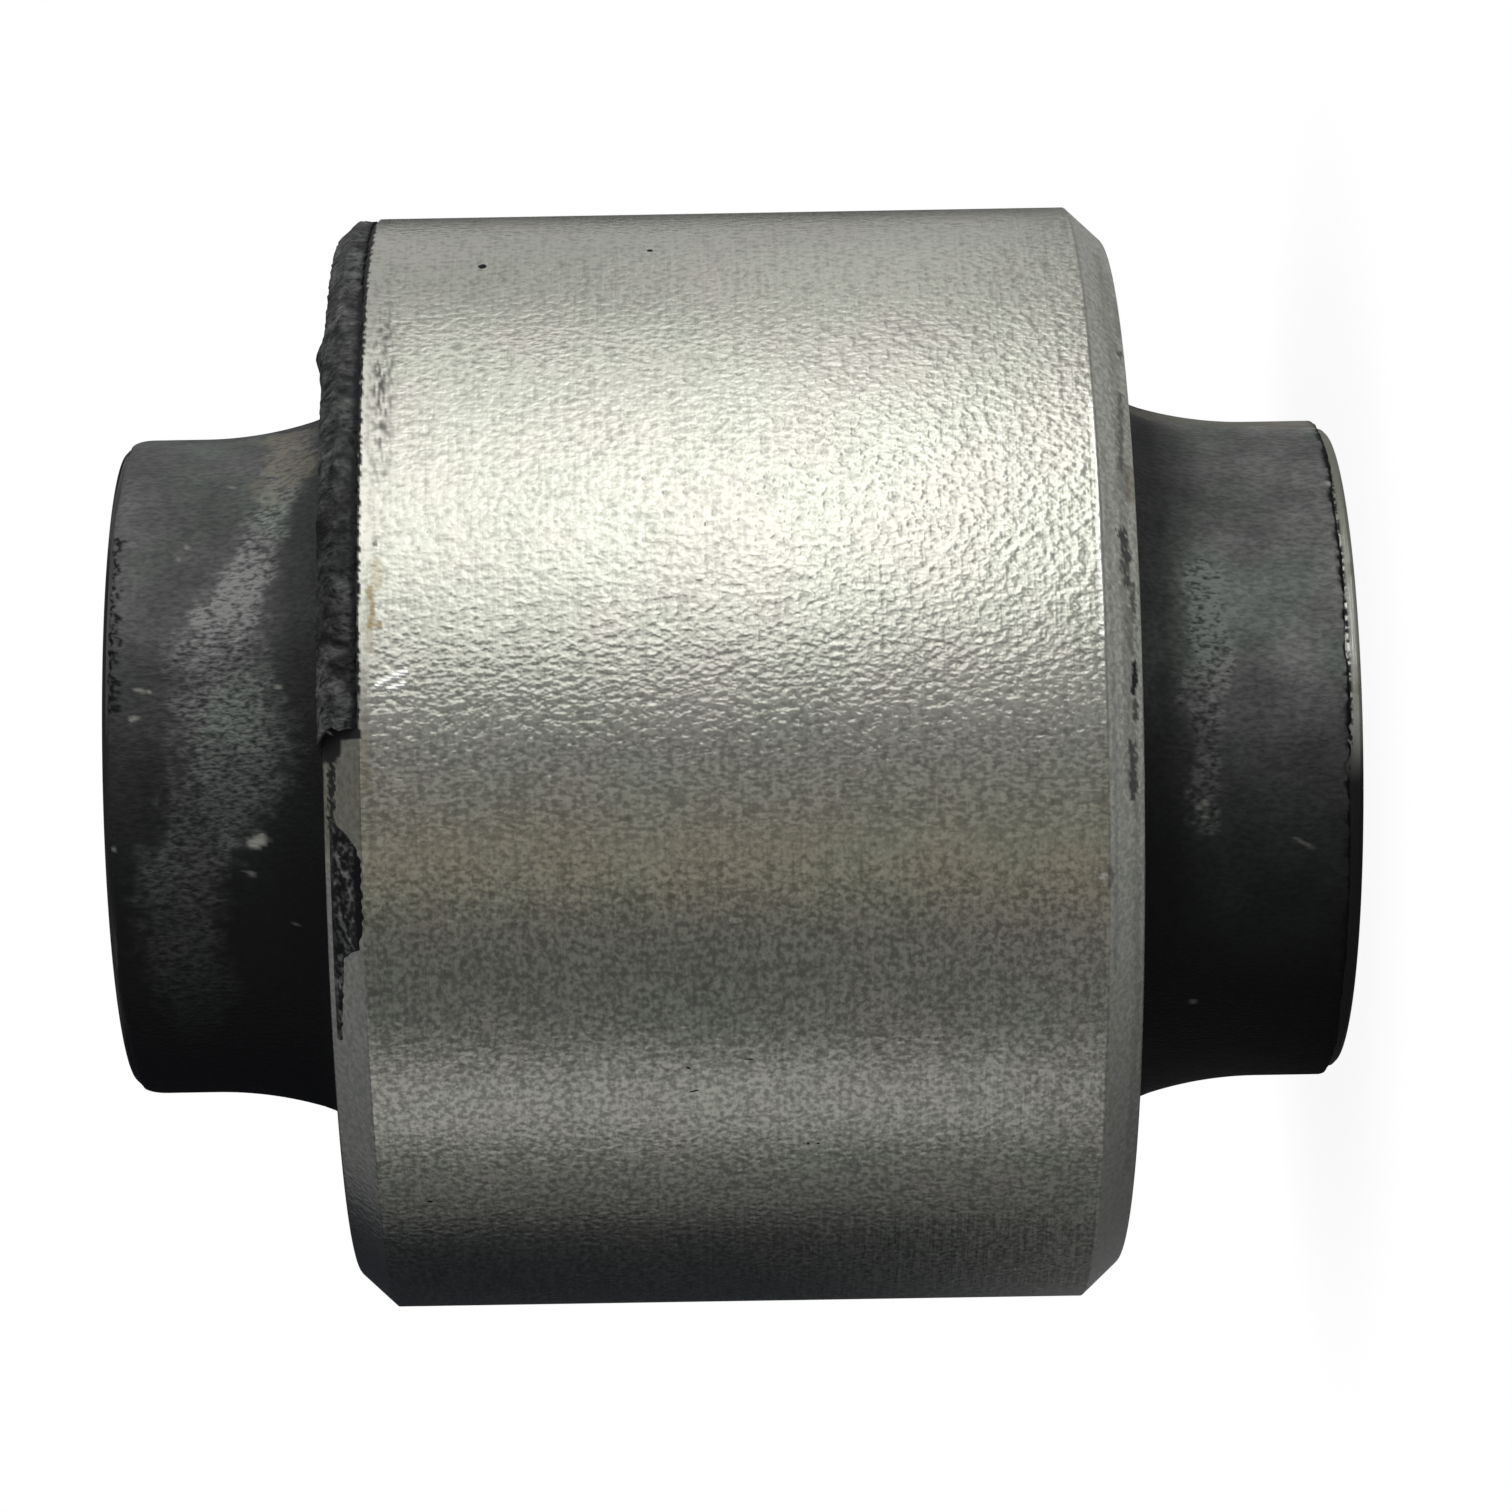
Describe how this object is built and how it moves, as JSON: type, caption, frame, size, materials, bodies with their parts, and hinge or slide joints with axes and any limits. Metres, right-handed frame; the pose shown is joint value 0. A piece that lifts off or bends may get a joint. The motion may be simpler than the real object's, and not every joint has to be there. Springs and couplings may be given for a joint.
{
  "type": "rubber metal bush",
  "caption": "Bonded suspension bush: chamfered steel outer sleeve, rubber body with flared collars and a torn flash lip, and a longer thick steel inner sleeve with a bolt bore.",
  "frame": {"origin": "centre of the inner sleeve's lower end face, on the bolt's axis", "axes": "+Z along the bolt's axis, towards the end with the flash lip"},
  "size_m": [0.045, 0.045, 0.0494],
  "materials": {
    "sleeve_steel": "phosphated steel, brushed around its outside and dulled by handling",
    "rubber": "moulded black rubber, matt, with dust and pale bloom on the upper collar",
    "inner_steel": "turned and faced steel"
  },
  "bodies": {
    "root": {"outer_sleeve": "sleeve_steel", "rubber_body": "rubber", "inner_sleeve": "inner_steel"}
  },
  "joints": []
}
